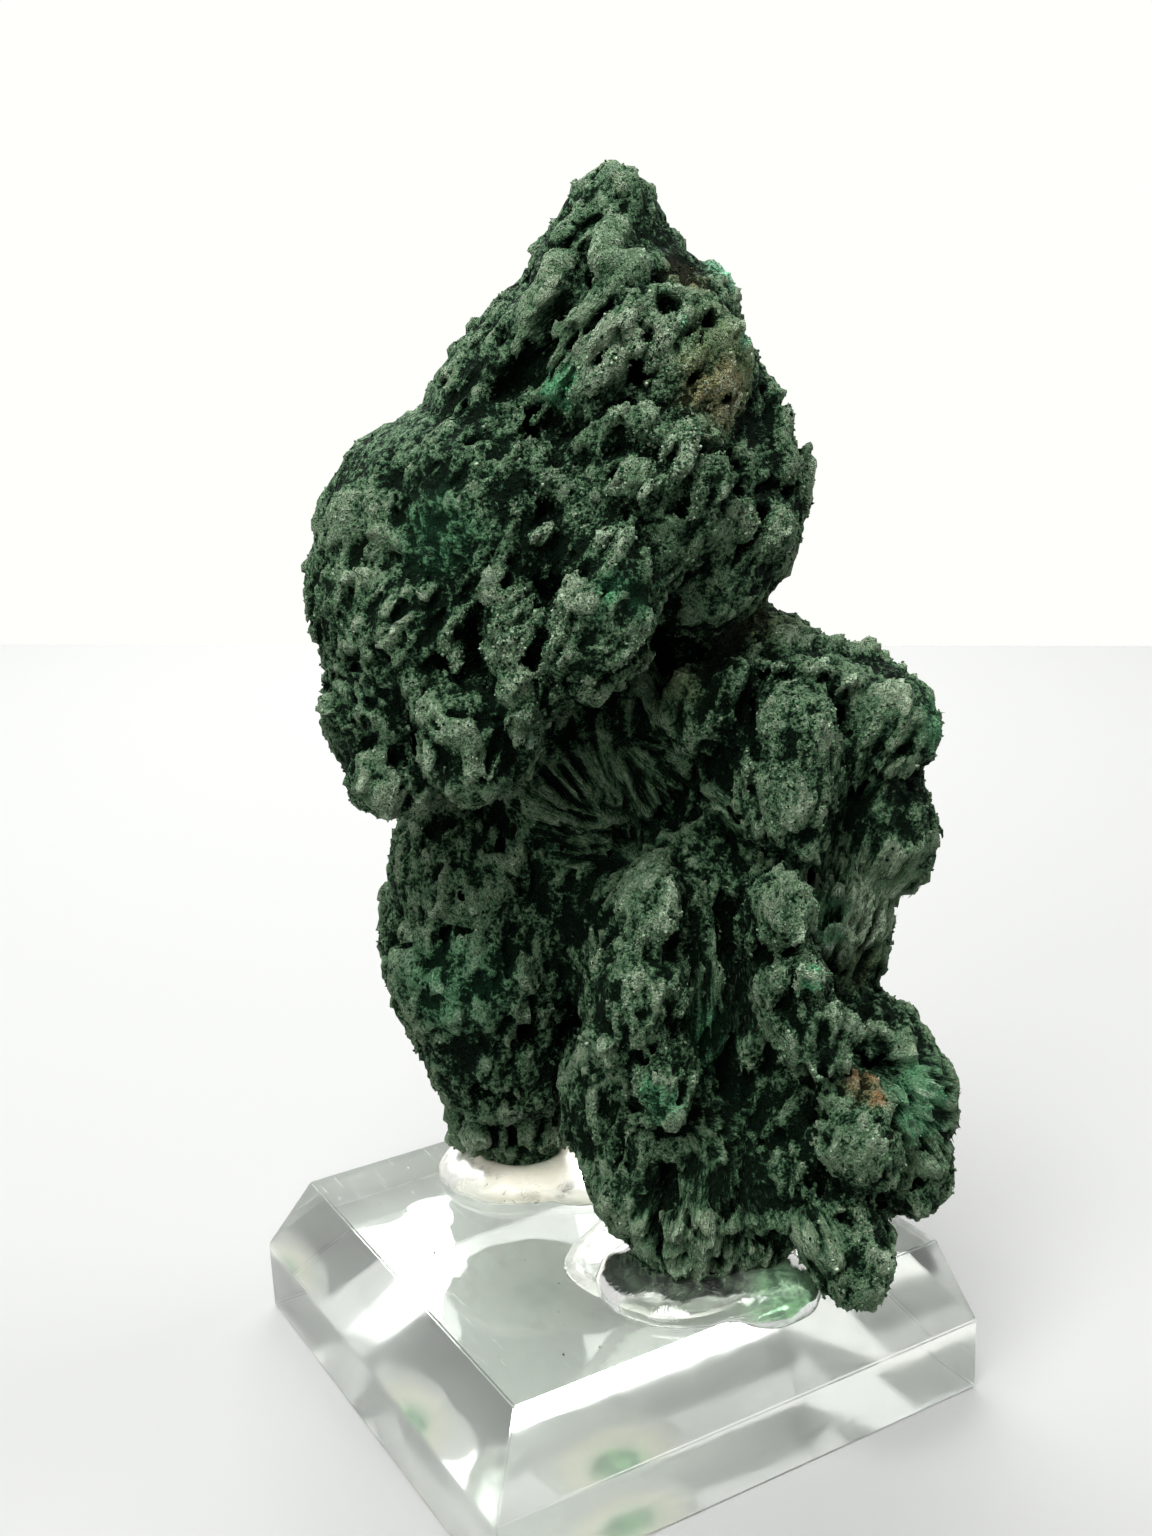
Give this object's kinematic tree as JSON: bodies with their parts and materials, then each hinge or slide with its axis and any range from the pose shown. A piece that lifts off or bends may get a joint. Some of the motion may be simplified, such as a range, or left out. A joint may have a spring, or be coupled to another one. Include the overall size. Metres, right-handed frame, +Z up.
{
  "type": "malachite specimen",
  "caption": "Dark green fibrous malachite specimen of knobbly lobes and ribbed sprays, glued upright on a clear bevelled acrylic display block.",
  "frame": {"origin": "centre of the acrylic block's underside, on the surface that it stands on", "axes": "+Z up; X and Y along the block's sides. The stone's display face looks towards -Y, turned 30 degrees towards -X"},
  "size_m": [0.0533, 0.0549, 0.1112],
  "materials": {
    "acrylic": "polished clear acrylic",
    "malachite": "dull velvety fibrous malachite",
    "glue": "clear to milky hardened adhesive"
  },
  "bodies": {
    "root": {"acrylic_base": "acrylic", "malachite": "malachite", "glue_back_foot": "glue", "glue_front_foot": "glue"}
  },
  "joints": []
}
